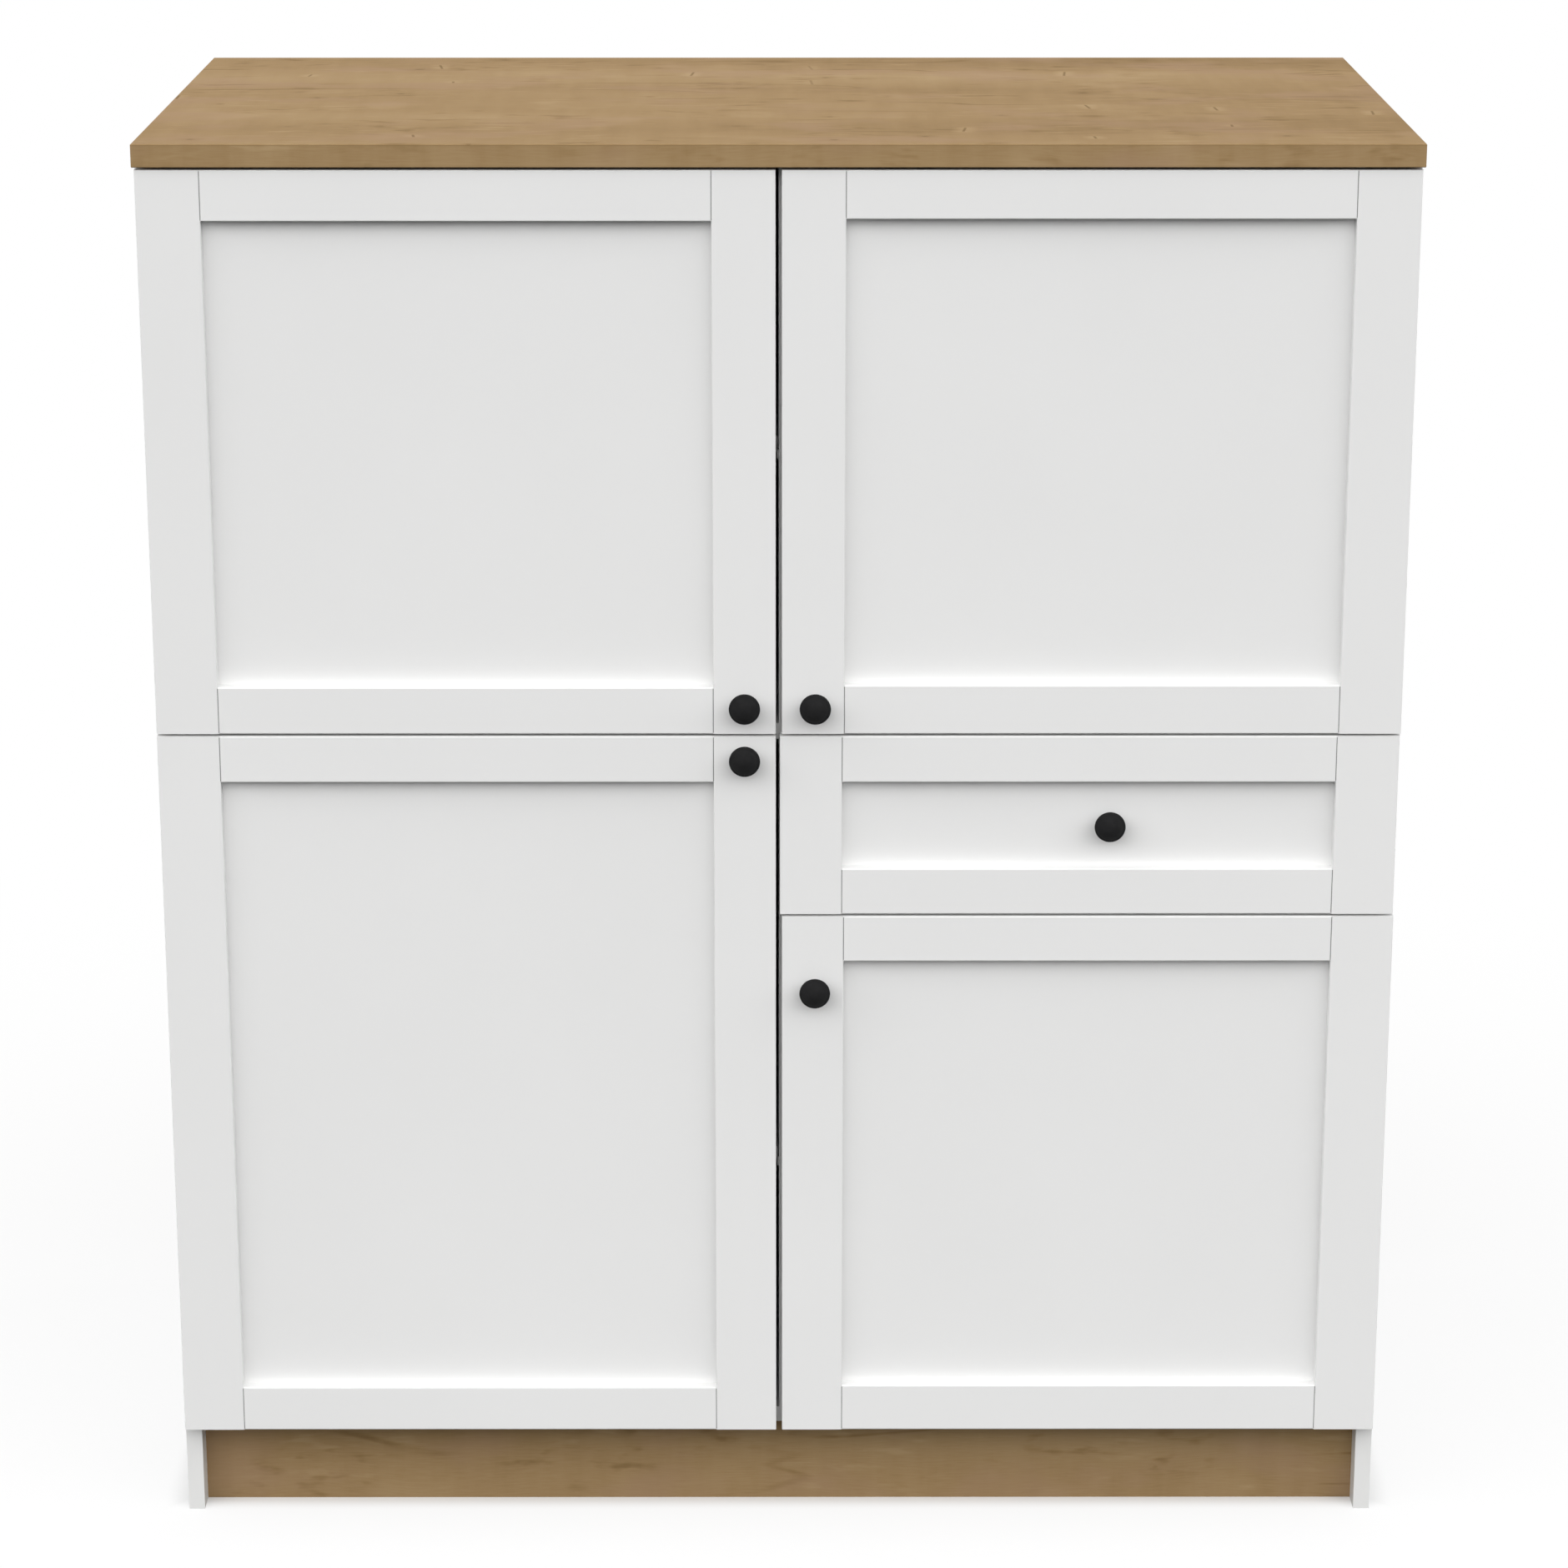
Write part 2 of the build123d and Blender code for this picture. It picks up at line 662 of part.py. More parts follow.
def back_groove(x0, x1, z0, z1):
    """The room of a back sheet in the boards round it."""
    return block(x0, x1, sheet_front - groove_slack, sheet_back + groove_slack, z0, z1)


def build_base(cuts):
    """Bottom panel, plinth board, rear plinth rail and the spine under the divider."""
    bottom = block(-side_inner, side_inner, carcass_front, worktop_back, plinth_height, bottom_top)
    bottom -= back_groove(-side_inner, side_inner, bottom_top - back_groove_depth, bottom_top)
    for y in cam_rows():
        for wall_x, wall, into in ((-side_inner, "left", 1), (side_inner, "right", -1)):
            room, hole = add_cams((wall_x, y, plinth_height), (into, 0, 0), (0, 0, 1))
            bottom -= room
            cuts[wall].append(hole)
        room, hole = add_cams((divider_right, y, bottom_top), (0, 0, 1), (-1, 0, 0))
        cuts["divider"].append(room)
        bottom -= hole
    add("bottom_panel", bottom)
    front = carcass_front + plinth_setback
    rear = worktop_back - plinth_rear_inset - board
    add("plinth_board", block(-side_inner, side_inner, front, front + board, 0, plinth_height))
    add("plinth_rear_rail", block(-side_inner, side_inner, rear, rear + board, 0, plinth_height))
    add("plinth_spine", block(divider_left, divider_right, front + board, rear, 0, plinth_height))


def build_uprights(cuts):
    """Side panels and divider, cut for grooves and fittings."""
    low = bottom_top - back_groove_depth
    cuts["left"].append(back_groove(-side_inner - back_groove_depth, -side_inner, low, carcass_top))
    cuts["right"].append(back_groove(side_inner, side_inner + back_groove_depth, low, carcass_top))
    cuts["divider"].append(back_groove(divider_left, divider_left + back_groove_depth, low, carcass_top))
    cuts["divider"].append(back_groove(divider_right - back_groove_depth, divider_right, low, carcass_top))
    left = block(-half, -side_inner, carcass_front, worktop_back, 0, carcass_top)
    right = block(side_inner, half, carcass_front, worktop_back, 0, carcass_top)
    divider = block(divider_left, divider_right, carcass_front, worktop_back, bottom_top, carcass_top)
    add("side_panel_left", left.cut(*cuts["left"]))
    add("side_panel_right", right.cut(*cuts["right"]))
    add("centre_divider", divider.cut(*cuts["divider"]))


def build_sheets_and_shelves():
    """Two back sheets in their grooves and four adjustable shelves on their pins."""
    seat = back_groove_depth - groove_end_gap
    for side, bay in (("left", left_bay), ("right", right_bay)):
        add("back_panel_" + side, block(bay[0] - seat, bay[1] + seat, sheet_front, sheet_back,
                                        bottom_top - seat, carcass_top))
        for level, underside in (("upper", upper_shelf_height), ("lower", lower_shelf_height)):
            add("shelf_" + level + "_" + side,
                block(bay[0] + shelf_edge_gap, bay[1] - shelf_edge_gap, carcass_front + shelf_setback,
                      sheet_front - shelf_edge_gap, underside, underside + board))


def build_bumpers():
    """Soft dots on the front edges of the boards, where the fronts close."""
    left_x = -centre_gap / 2 - bumper_edge
    right_x = centre_gap / 2 + bumper_edge
    drawer_edge = drawer_front_width / 2 - bumper_edge
    fixed_top = fixed_shelf_low + board
    upper_z = (upper_low + fixed_top) / 2
    tall_z = (fixed_shelf_low + drawer_high) / 2
    deck_z = (deck_low + lower_top) / 2
    drawer_z = (drawer_low + deck_low + board) / 2
    base_z = plinth_height + board / 2
    spots = ((left_x, upper_z), (right_x, upper_z), (left_x, tall_z), (left_x, base_z),
             (right_x, deck_z), (right_x, base_z),
             (drawer_middle - drawer_edge, drawer_z), (drawer_middle + drawer_edge, drawer_z))
    for x, z in spots:
        add("door_bumpers", rod((x, carcass_front, z), (0, -1, 0), bumper_height, bumper_radius))


def build_runners(cuts):
    """Rails and front rollers on the carcass, slides and rear rollers on the drawer."""
    add("runner_rails", *on_walls(runner_rail()))
    add("drawer_slides", *on_walls(drawer_slide()))
    shy = runner_sheet + roller_cap_gap + roller_cap + roller_side_gap
    add("front_rollers", *on_walls(roller(front_roller_y, runner_side_space - shy - roller_width)))
    add("rear_rollers", *on_walls(roller(rear_roller_y, shy)))
    for y in rail_screw_rows():
        seat = (runner_sheet, y, rail_screw_height)
        add("carcass_screws", *on_walls(screw(seat, (-1, 0, 0), board_screw_length)))
        holes = on_walls(screw_hole((0, y, rail_screw_height), (-1, 0, 0), board_screw_length))
        cuts["divider"].append(holes[0])
        cuts["right"].append(holes[1])


def build_drawer():
    """Drawer front, knob and box."""
    at = Pos(drawer_middle - drawer_front_width / 2, door_back, drawer_low)
    left, right, low_rail, high_rail, panel = framed_front(
        drawer_front_width, drawer_front_height, rail_narrow, rail_narrow)
    knob_at = Pos(drawer_front_width / 2 + drawer_knob_offset, panel_front, drawer_front_height / 2)
    knob_hole = knob_at * screw_hole((0, 0, 0), (0, 1, 0), drawer_side - panel_front)
    outer = (divider_right + runner_side_space, side_inner - runner_side_space)
    inner = (outer[0] + drawer_side, outer[1] - drawer_side)
    rear = box_back - drawer_side
    front = door_back + drawer_side
    sheet_low = box_low + drawer_bottom_height
    sheet_high = sheet_low + drawer_bottom
    groove = block(inner[0] - drawer_groove_depth, inner[1] + drawer_groove_depth,
                   front - drawer_groove_depth, rear + drawer_groove_depth,
                   sheet_low - groove_slack, sheet_high + groove_slack)
    side_left = block(outer[0], inner[0], door_back, box_back, box_low, box_high) - groove
    side_right = block(inner[1], outer[1], door_back, box_back, box_low, box_high) - groove
    end_front = block(*inner, door_back, front, box_low, box_high) - groove - at * knob_hole
    end_rear = block(*inner, rear, box_back, box_low, box_high) - groove
    seat = drawer_groove_depth - groove_end_gap
    sheet = block(inner[0] - seat, inner[1] + seat, front - seat, rear + seat, sheet_low, sheet_high)
    screws = [at * knob_at * knob_screw(drawer_side - panel_front)]
    length = drawer_side + frame_thickness * stile_screw_share
    for x in (inner[0] + drawer_screw_inset, inner[1] - drawer_screw_inset):
        for share in drawer_screw_shares:
            place = (x, front, box_low + share * drawer_box_height)
            hole = screw_hole(place, (0, -1, 0), length)
            screws.append(screw(place, (0, -1, 0), length))
            end_front -= hole
            left -= at.inverse() * hole
            right -= at.inverse() * hole
    for y in slide_screw_rows():
        for x in (outer[0] + drawer_side / 2, outer[1] - drawer_side / 2):
            screws.append(screw((x, y, box_low - runner_sheet), (0, 0, 1), slide_screw_length))
            hole = screw_hole((x, y, box_low), (0, 0, 1), slide_screw_length)
            side_left -= hole
            side_right -= hole
    add("drawer_stiles", at * left, at * right)
    add("drawer_rails", at * low_rail, at * high_rail)
    add("drawer_panel", at * (panel - knob_hole))
    add("drawer_knob", at * knob_at * knob())
    add("drawer_box_sides", side_left, side_right)
    add("drawer_box_ends", end_front, end_rear)
    add("drawer_box_bottom", sheet)
    add("drawer_screws", *screws)


def build():
    """Builds every piece."""
    cuts = {"left": [], "right": [], "divider": []}
    build_doors(cuts)
    build_drawer()
    build_shelf_pins(cuts)
    fixed_board("fixed_shelf_left", left_bay, fixed_shelf_low, cuts)
    fixed_board("fixed_shelf_right", right_bay, fixed_shelf_low, cuts)
    fixed_board("drawer_deck", right_bay, deck_low, cuts)
    build_worktop(cuts)
    build_base(cuts)
    build_runners(cuts)
    build_uprights(cuts)
    build_sheets_and_shelves()
    build_bumpers()


def write_parts():
    """Writes one STEP file for each node."""
    os.makedirs("parts", exist_ok=True)
    for name, shapes in parts.items():
        solids = [solid for shape in shapes for solid in shape.solids()]
        node = solids[0] if len(solids) == 1 else Compound(children=solids)
        export_step(node, "parts/" + name + ".step")


build()
write_parts()
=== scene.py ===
"""Buffet cabinet: its finishes, the studio round it and the camera."""
import json

import bpy
import numpy as np
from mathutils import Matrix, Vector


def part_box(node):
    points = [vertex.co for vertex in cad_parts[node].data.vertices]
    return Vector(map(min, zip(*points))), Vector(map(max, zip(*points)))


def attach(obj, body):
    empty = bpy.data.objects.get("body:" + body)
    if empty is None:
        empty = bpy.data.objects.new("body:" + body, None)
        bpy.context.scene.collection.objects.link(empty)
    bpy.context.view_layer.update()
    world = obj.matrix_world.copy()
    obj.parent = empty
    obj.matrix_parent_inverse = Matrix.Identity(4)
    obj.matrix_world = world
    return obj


white = (1.0, 1.0, 1.0, 1.0)

# Camera, in metres, radians and millimetres, set to the view of the photograph
camera_place = (0.0003, -4.4359, 1.9847)
camera_tilt = 1.28575
camera_turn = -0.00113
camera_lens = 102.47
camera_sensor = 36.0
camera_reach = 60.0

# Studio dome: brightness at the horizon, half-way up and overhead, before the cabinet, and
# low and high behind it. The bands are the heights between which it turns from one to the
# next, from 0 at the horizon to 1 overhead
front_low, front_middle, front_high = 0.00, 2.97, 0.90
front_bands = ((0.0, 0.42), (0.55, 1.0))
back_low, back_high = 1.80, 0.15
back_band = (0.32, 0.62)
front_edge = (0.35, -0.35)     # between the back and the front half, by the ray's Y
below = 0.05                   # brightness under the horizon
below_band = (-0.03, 0.0)

# Floor
floor_half = 9.0
floor_contact = 0.0            # share of plain white where the cabinet stands
floor_near = 0.78              # and at the contact's width from it
contact_width = 0.030
floor_clear = (0.75, 2.2)      # distances between which the floor turns plain white
floor_seen = 0.82              # its tone to the eye
floor_bounce = 0.02            # and to light that bounces off it

# Oak decor, linear colours
oak_pale = (0.383, 0.268, 0.142, 1.0)
oak_middle = (0.314, 0.208, 0.1015, 1.0)
oak_dark = (0.230, 0.146, 0.065, 1.0)
oak_knot = (0.115, 0.068, 0.028, 1.0)
oak_blush = (0.342, 0.223, 0.136, 1.0)

# Oak figure: for each layer of noise its patches to the metre along and across the grain, its
# detail and its shift along the noise
oak_layers = {
    "bend": (3.0, 5.0, 1.0, 0.0),
    "bands": (0.8, 8.0, 1.0, 3.0),
    "contours": (1.7, 16.0, 1.5, 11.0),
    "line_places": (6.0, 7.0, 1.0, 5.0),
    "streaks": (22.0, 65.0, 2.0, 2.0),
    "streak_places": (4.5, 10.0, 1.0, 9.0),
    "gleams": (20.0, 100.0, 2.0, 23.0),
    "gleam_places": (5.0, 9.0, 1.0, 31.0),
    "stripes": (48.0, 7.0, 3.0, 4.0),
    "clouds": (10.0, 13.0, 2.0, 7.0),
    "fine": (45.0, 620.0, 2.0, 1.0),
    "blush": (6.0, 11.0, 3.0, 41.0),
}
# The values at which each begins to show and is full. Widths are in metres, and a reach or a
# ring is a part of the mark's own size
oak_steps = {
    "contours": (0.022, 0.002),
    "line_places": (0.50, 0.64),
    "streaks": (0.54, 0.80),
    "streak_places": (0.46, 0.62),
    "gleams": (0.56, 0.80),
    "gleam_places": (0.44, 0.60),
    "clouds": (0.55, 0.75),
    "blush": (0.48, 0.72),
    "tick_chance": (0.72, 0.76),
    "tick_width": (0.0020, 0.0004),
    "tick_reach": (1.15, 0.60),
    "surround_width": (0.014, 0.003),
    "surround_reach": (1.35, 0.70),
    "speck_chance": (0.78, 0.88),
    "speck_ring": (1.5, 0.3),
    "stain_chance": (0.70, 0.95),
    "stain_ring": (5.5, 1.0),
}
# How much each counts in the tone, and the last four in the colour
oak_shares = {
    "bands": 0.80, "fine": 0.35, "clouds": 0.16, "surround": 0.30, "gleams": 0.30,
    "lines": 0.45, "streaks": 0.52, "stain": 0.22,
    "blush": 0.45, "tick": 0.55, "speck": 0.45, "arris": 0.55,
}
stripe_shares = (0.30, 0.45)   # on broad faces and on narrow edges
mark_shares = (1.0, 0.6)
oak_contrast = 2.0
bend_width = 0.030             # how far the grain strays across
end_face_line = 0.37           # which line of the figure the end faces show
mark_shake = 0.75              # how far a mark strays in its cell, from 0 to 1
tick_cell = (0.130, 0.100)     # one tick at most in each cell, along and across
tick_shift = 17.3
tick_lean = 0.3
tick_half = (0.005, 0.014)     # least half length and what chance adds
speck_cell = (0.085, 0.062)
speck_shift = 5.1
speck_squeeze = 0.7            # below 1 a speck is longer along the grain
speck_radius = (0.0016, 0.0022)

# Oak surface: roughness of the plain decor, of its fine grain and of its ticks, and height of
# its fine grain and its specks, where a tick's is 1
oak_rough, oak_rough_fine, oak_rough_tick = 0.54, 0.20, 0.12
oak_high_fine, oak_high_speck = 0.6, 0.5
oak_specular = 0.005
oak_bump, oak_depth = 0.25, 0.00006
# Depths under the worktop's upper face where the dark line starts, is darkest and ends
arris_low, arris_middle, arris_high = 0.0022, 0.0010, 0.0003
edge_margin = 0.0022           # how far below the worktop its narrow edge still counts
end_inset = 0.0003             # how far inside the worktop's ends the grain turns

# Joints of the framed fronts: each front's body, how far rails and panels reach into the
# stiles and rails, and the painted shade in each joint, a dark bar that stands in for the
# shade in its groove, with its width, its depth under the face, its thickness and what is
# left free at its ends
fronts = {"door_ul": "door_upper_left", "door_ur": "door_upper_right", "door_ll": "door_lower_left",
          "door_lr": "door_lower_right", "drawer": "drawer"}
tenon = 0.008
panel_seat = 0.008
shade_bar_width, shade_bar_depth, shade_bar_body, shade_bar_end = 0.0008, 0.00032, 0.0001, 0.0012

# Plain finishes: colour, mottle, patch size, grain size, roughness, roughness spread,
# bump strength and depth, all lengths in metres
finishes = {
    "white_front": dict(colour=(0.782, 0.782, 0.777, 1.0), mottle=0.010, patch=0.180, grain=0.0016,
                        rough=0.42, spread=0.05, bump=0.10, depth=0.00004),
    "white_board": dict(colour=(0.770, 0.770, 0.760, 1.0), mottle=0.012, patch=0.090, grain=0.0009,
                        rough=0.50, spread=0.06, bump=0.20, depth=0.00005),
    "drawer_board": dict(colour=(0.770, 0.770, 0.755, 1.0), mottle=0.012, patch=0.070, grain=0.0009,
                         rough=0.52, spread=0.06, bump=0.20, depth=0.00005),
    # painted shade: the dark grey of the bars in the joints of the framed fronts, standing in for
    # the shade in their grooves
    "joint_shade_paint": dict(colour=(0.200, 0.200, 0.198, 1.0), mottle=0.080, patch=0.020, grain=0.0006,
                       rough=0.60, spread=0.05, bump=0.10, depth=0.00002, specular=0.1),
    "knob_black": dict(colour=(0.0155, 0.0155, 0.0160, 1.0), mottle=0.150, patch=0.006,
                       grain=0.0005, rough=0.50, spread=0.08, bump=0.35, depth=0.00005,
                       specular=0.04),
    "hinge_steel": dict(colour=(0.600, 0.590, 0.570, 1.0), mottle=0.060, patch=0.012, grain=0.0006,
                        rough=0.26, spread=0.10, bump=0.12, depth=0.00003, metal=1.0),
    "screw_steel": dict(colour=(0.560, 0.560, 0.550, 1.0), mottle=0.080, patch=0.005, grain=0.0004,
                        rough=0.30, spread=0.12, bump=0.15, depth=0.00003, metal=1.0),
    "cam_zinc": dict(colour=(0.480, 0.480, 0.490, 1.0), mottle=0.100, patch=0.005, grain=0.0005,
                     rough=0.45, spread=0.12, bump=0.30, depth=0.00005, metal=1.0),
    "runner_steel": dict(colour=(0.760, 0.760, 0.745, 1.0), mottle=0.012, patch=0.040, grain=0.0007,
                         rough=0.34, spread=0.06, bump=0.25, depth=0.00005),
    "roller_nylon": dict(colour=(0.700, 0.700, 0.670, 1.0), mottle=0.040, patch=0.006, grain=0.0006,
                         rough=0.50, spread=0.08, bump=0.15, depth=0.00004),
    "bumper": dict(colour=(0.620, 0.620, 0.600, 1.0), mottle=0.030, patch=0.004, grain=0.0005,
                   rough=0.38, spread=0.08, bump=0.15, depth=0.00004),
}
plain_specular = 0.4
patch_detail, patch_gain = 4.0, 4.0
grain_detail = 2.0
uneven_gain = 2.0
least_rough = 0.05

# Hardboard of the back panels: the foil inside, and behind it two browns and the fibres to
# the metre along X, Y and Z
sheet_foil = (0.770, 0.770, 0.755, 1.0)
sheet_dark = (0.200, 0.115, 0.058, 1.0)
sheet_pale = (0.330, 0.205, 0.112, 1.0)
sheet_fibres = (900.0, 900.0, 300.0)
sheet_fibre_detail, sheet_fibre_band = 3.0, (0.30, 0.70)
sheet_rough = (0.50, 0.75)     # inside and behind
sheet_look = dict(mottle=0.03, patch=0.12, grain=0.0012, spread=0.06, bump=0.25, depth=0.00006)


class Wiring:
    """Adds nodes to one tree and links them. A value is a number, a tuple or a socket."""

    def __init__(self, tree):
        self.tree = tree

    def put(self, value, socket):
        if isinstance(value, bpy.types.NodeSocket):
            self.tree.links.new(value, socket)
        else:
            socket.default_value = value

    def add(self, kind, values, **settings):
        node = self.tree.nodes.new("ShaderNode" + kind)
        for name, setting in settings.items():
            setattr(node, name, setting)
        for key, value in values.items():
            self.put(value, node.inputs[key])
        return node

    def maths(self, operation, first, second=0.0, clamp=False):
        node = self.add("Math", {0: first, 1: second}, operation=operation, use_clamp=clamp)
        return node.outputs[0]

    def times(self, first, second):
        return self.maths("MULTIPLY", first, second)

    def plus(self, first, second):
        return self.maths("ADD", first, second)

    def total(self, first, second, third):
        return self.plus(first, self.plus(second, third))

    def centred(self, value):
        """The value less a half, so that noise lies about 0."""
        return self.plus(value, -0.5)

    def parts(self, vector):
        return self.add("SeparateXYZ", {0: vector}).outputs

    def vector(self, x, y, z=0.0):
        return self.add("CombineXYZ", {0: x, 1: y, 2: z}).outputs[0]

    def scaled(self, vector, factors):
        node = self.add("VectorMath", {0: vector, 1: factors}, operation="MULTIPLY")
        return node.outputs[0]

    def ramp(self, value, low, high):
        """0 at low and 1 at high, eased between."""
        return self.add("MapRange", {"Value": value, "From Min": low, "From Max": high},
                        interpolation_type="SMOOTHSTEP").outputs[0]

    def noise(self, vector, detail, plane=False):
        """Soft noise, about 0.5, over a vector already scaled to one patch to a unit."""
        return self.add("TexNoise", {"Vector": vector, "Scale": 1.0, "Detail": detail},
                        noise_dimensions="2D" if plane else "3D").outputs[0]

    def mix(self, share, first, second):
        """A number between two numbers."""
        return self.add("Mix", {0: share, 2: first, 3: second}, data_type="FLOAT").outputs[0]

    def mix_colour(self, share, first, second):
        """A colour between two colours."""
        return self.add("Mix", {0: share, 6: first, 7: second}, data_type="RGBA").outputs[2]


def node_group(name, inputs, outputs):
    """An empty shader group with named sockets: its tree, wiring, inputs and outputs."""
    kinds = {"vector": "NodeSocketVector", "colour": "NodeSocketColor", "number": "NodeSocketFloat"}
    tree = bpy.data.node_groups.new(name, "ShaderNodeTree")
    for way, sockets in (("INPUT", inputs), ("OUTPUT", outputs)):
        for label, kind in sockets.items():
            tree.interface.new_socket(label, in_out=way, socket_type=kinds[kind])
    start = tree.nodes.new("NodeGroupInput").outputs
    end = tree.nodes.new("NodeGroupOutput").inputs
    return tree, Wiring(tree), start, end


def place_group(wiring, tree, values):
    """One use of a group in a material, with its own values."""
    node = wiring.tree.nodes.new("ShaderNodeGroup")
    node.node_tree = tree
    for label, value in values.items():
        wiring.put(value, node.inputs[label])
    return node.outputs


def even_finish_group():
    """Paint, plastic or plated metal: faint patches of tone, fine grain and uneven gloss."""
    tree, w, given, result = node_group(
        "even_finish",
        {"Vector": "vector", "Colour": "colour", "Mottle": "number", "Patch Size": "number",
         "Grain Size": "number", "Roughness": "number", "Spread": "number"},
        {"Colour": "colour", "Roughness": "number", "Height": "number"})

    def speckle(size, detail):
        scale = w.maths("DIVIDE", 1.0, size)
        return w.noise(w.scaled(given["Vector"], w.vector(scale, scale, scale)), detail)

    patches = w.centred(speckle(given["Patch Size"], patch_detail))
    grain = speckle(given["Grain Size"], grain_detail)
    tone = w.plus(1.0, w.times(given["Mottle"], w.times(patches, patch_gain)))
    w.put(w.scaled(given["Colour"], w.vector(tone, tone, tone)), result["Colour"])
    uneven = w.plus(w.times(patches, uneven_gain), w.centred(grain))
    rough = w.plus(given["Roughness"], w.times(given["Spread"], uneven))
    w.put(w.maths("MAXIMUM", rough, least_rough), result["Roughness"])
    w.put(grain, result["Height"])
    return tree


def scatter(w, along, across, cell, shift):
    """One mark at most in each cell: how far off it is along and across, and three chances."""
    spot = w.vector(w.plus(w.times(along, 1 / cell[0]), shift),
                    w.plus(w.times(across, 1 / cell[1]), shift))
    cells = w.add("TexVoronoi", {"Vector": spot, "Scale": 1.0, "Randomness": mark_shake},
                  voronoi_dimensions="2D")
    centre = w.parts(cells.outputs["Position"])
    off_along = w.maths("SUBTRACT", along, w.times(w.plus(centre[0], -shift), cell[0]))
    off_across = w.maths("SUBTRACT", across, w.times(w.plus(centre[1], -shift), cell[1]))
    return off_along, off_across, w.parts(cells.outputs["Color"])


def oak_group():
    """Light oak decor. The grain runs along X, and along Y on the two end faces. Bands, wavy
    lines, short streaks and gleams, clouds and pinker patches are layers of noise, drawn out
    along the grain, and stripes are drawn out across it. Ticks across the grain sit one to a
    cell, each in a paler surround, and so do specks, each in a darker stain. Narrow edges
    have no wavy lines and weaker marks, but stronger stripes."""
    tree, w, given, result = node_group(
        "oak_decor",
        {"Vector": "vector", "Half Length": "number", "Narrow Edge": "number", "Arris": "number",
         "Pale": "colour", "Middle": "colour", "Dark": "colour", "Knot": "colour",
         "Blush": "colour"},
        {"Colour": "colour", "Roughness": "number", "Height": "number"})
    narrow = given["Narrow Edge"]
    x, y, z = w.parts(given["Vector"])
    end_face = w.maths("GREATER_THAN", w.maths("ABSOLUTE", x), given["Half Length"])
    along = w.mix(end_face, x, y)
    across = w.plus(z, w.mix(end_face, y, end_face_line))

    def layer(name, line=across):
        along_scale, across_scale, detail, shift = oak_layers[name]
        spot = w.vector(w.plus(w.times(along, along_scale), shift), w.times(line, across_scale))
        return w.noise(spot, detail, plane=True)

    def shown(value, name):
        return w.ramp(value, *oak_steps[name])

    def patches(name, line=across):
        return shown(layer(name, line), name)

    def counted(value, name):
        return w.times(value, oak_shares[name])

    bent = w.plus(across, w.times(w.centred(layer("bend")), bend_width))
    bands = w.centred(layer("bands", bent))
    contour = w.maths("ABSOLUTE", w.centred(layer("contours", bent)))
    lines = w.times(shown(contour, "contours"), patches("line_places"))
    lines = w.times(lines, w.maths("SUBTRACT", 1.0, narrow))
    streaks = w.times(patches("streaks", bent), patches("streak_places"))
    gleams = w.times(patches("gleams", bent), patches("gleam_places"))
    stripes = w.centred(layer("stripes"))
    clouds = patches("clouds")
    fine = w.centred(layer("fine", bent))
    blush = patches("blush", bent)

    off_along, off_across, chances = scatter(w, along, across, tick_cell, tick_shift)
    chance, turn, size = chances
    lean = w.times(w.centred(turn), tick_lean)
    beside = w.maths("ABSOLUTE", w.plus(off_along, w.times(off_across, lean)))
    half = w.plus(tick_half[0], w.times(size, tick_half[1]))
    reach = w.maths("DIVIDE", w.maths("ABSOLUTE", off_across), half)
    present = shown(chance, "tick_chance")
    tick = w.times(present, w.times(shown(beside, "tick_width"), shown(reach, "tick_reach")))
    surround = w.times(present, w.times(shown(beside, "surround_width"),
                                        shown(reach, "surround_reach")))

    off_along, off_across, chances = scatter(w, along, across, speck_cell, speck_shift)
    chance, size = chances[0], chances[2]
    squares = w.plus(w.maths("POWER", w.times(off_along, speck_squeeze), 2.0),
                     w.maths("POWER", off_across, 2.0))
    ring = w.maths("DIVIDE", w.maths("POWER", squares, 0.5),
                   w.plus(speck_radius[0], w.times(size, speck_radius[1])))
    speck = w.times(shown(chance, "speck_chance"), shown(ring, "speck_ring"))
    stain = w.times(shown(chance, "stain_chance"), shown(ring, "stain_ring"))

    broad = w.total(counted(bands, "bands"), w.times(stripes, w.mix(narrow, *stripe_shares)),
                    counted(fine, "fine"))
    small = w.total(counted(clouds, "clouds"), counted(surround, "surround"),
                    counted(gleams, "gleams"))
    marks = w.total(counted(lines, "lines"), counted(streaks, "streaks"),
                    counted(stain, "stain"))
    marks = w.times(marks, w.mix(narrow, *mark_shares))
    tone = w.times(w.maths("SUBTRACT", w.plus(broad, small), marks), oak_contrast)

    lighter = w.maths("MULTIPLY", tone, 1.0, clamp=True)
    darker = w.maths("MULTIPLY", tone, -1.0, clamp=True)
    knots = w.plus(counted(tick, "tick"), counted(speck, "speck"))
    colour = w.mix_colour(lighter, given["Middle"], given["Pale"])
    colour = w.mix_colour(darker, colour, given["Dark"])
    colour = w.mix_colour(counted(blush, "blush"), colour, given["Blush"])
    colour = w.mix_colour(knots, colour, given["Knot"])
    colour = w.mix_colour(counted(given["Arris"], "arris"), colour, given["Dark"])
    w.put(colour, result["Colour"])
    w.put(w.total(oak_rough, w.times(fine, oak_rough_fine), w.times(tick, oak_rough_tick)),
          result["Roughness"])
    pits = w.plus(tick, w.times(speck, oak_high_speck))
    w.put(w.maths("SUBTRACT", w.times(fine, oak_high_fine), pits), result["Height"])
    return tree


def new_material(name):
    """A material with an empty surface: its wiring, its shader and its Object coordinates."""
    material = bpy.data.materials.new(name)
    material.use_nodes = True
    tree = material.node_tree
    tree.nodes.clear()
    w = Wiring(tree)
    shader = w.add("BsdfPrincipled", {})
    output = w.add("OutputMaterial", {"Surface": shader.outputs[0]})
    output.is_active_output = True
    return material, w, shader.inputs, w.add("TexCoord", {}).outputs["Object"]


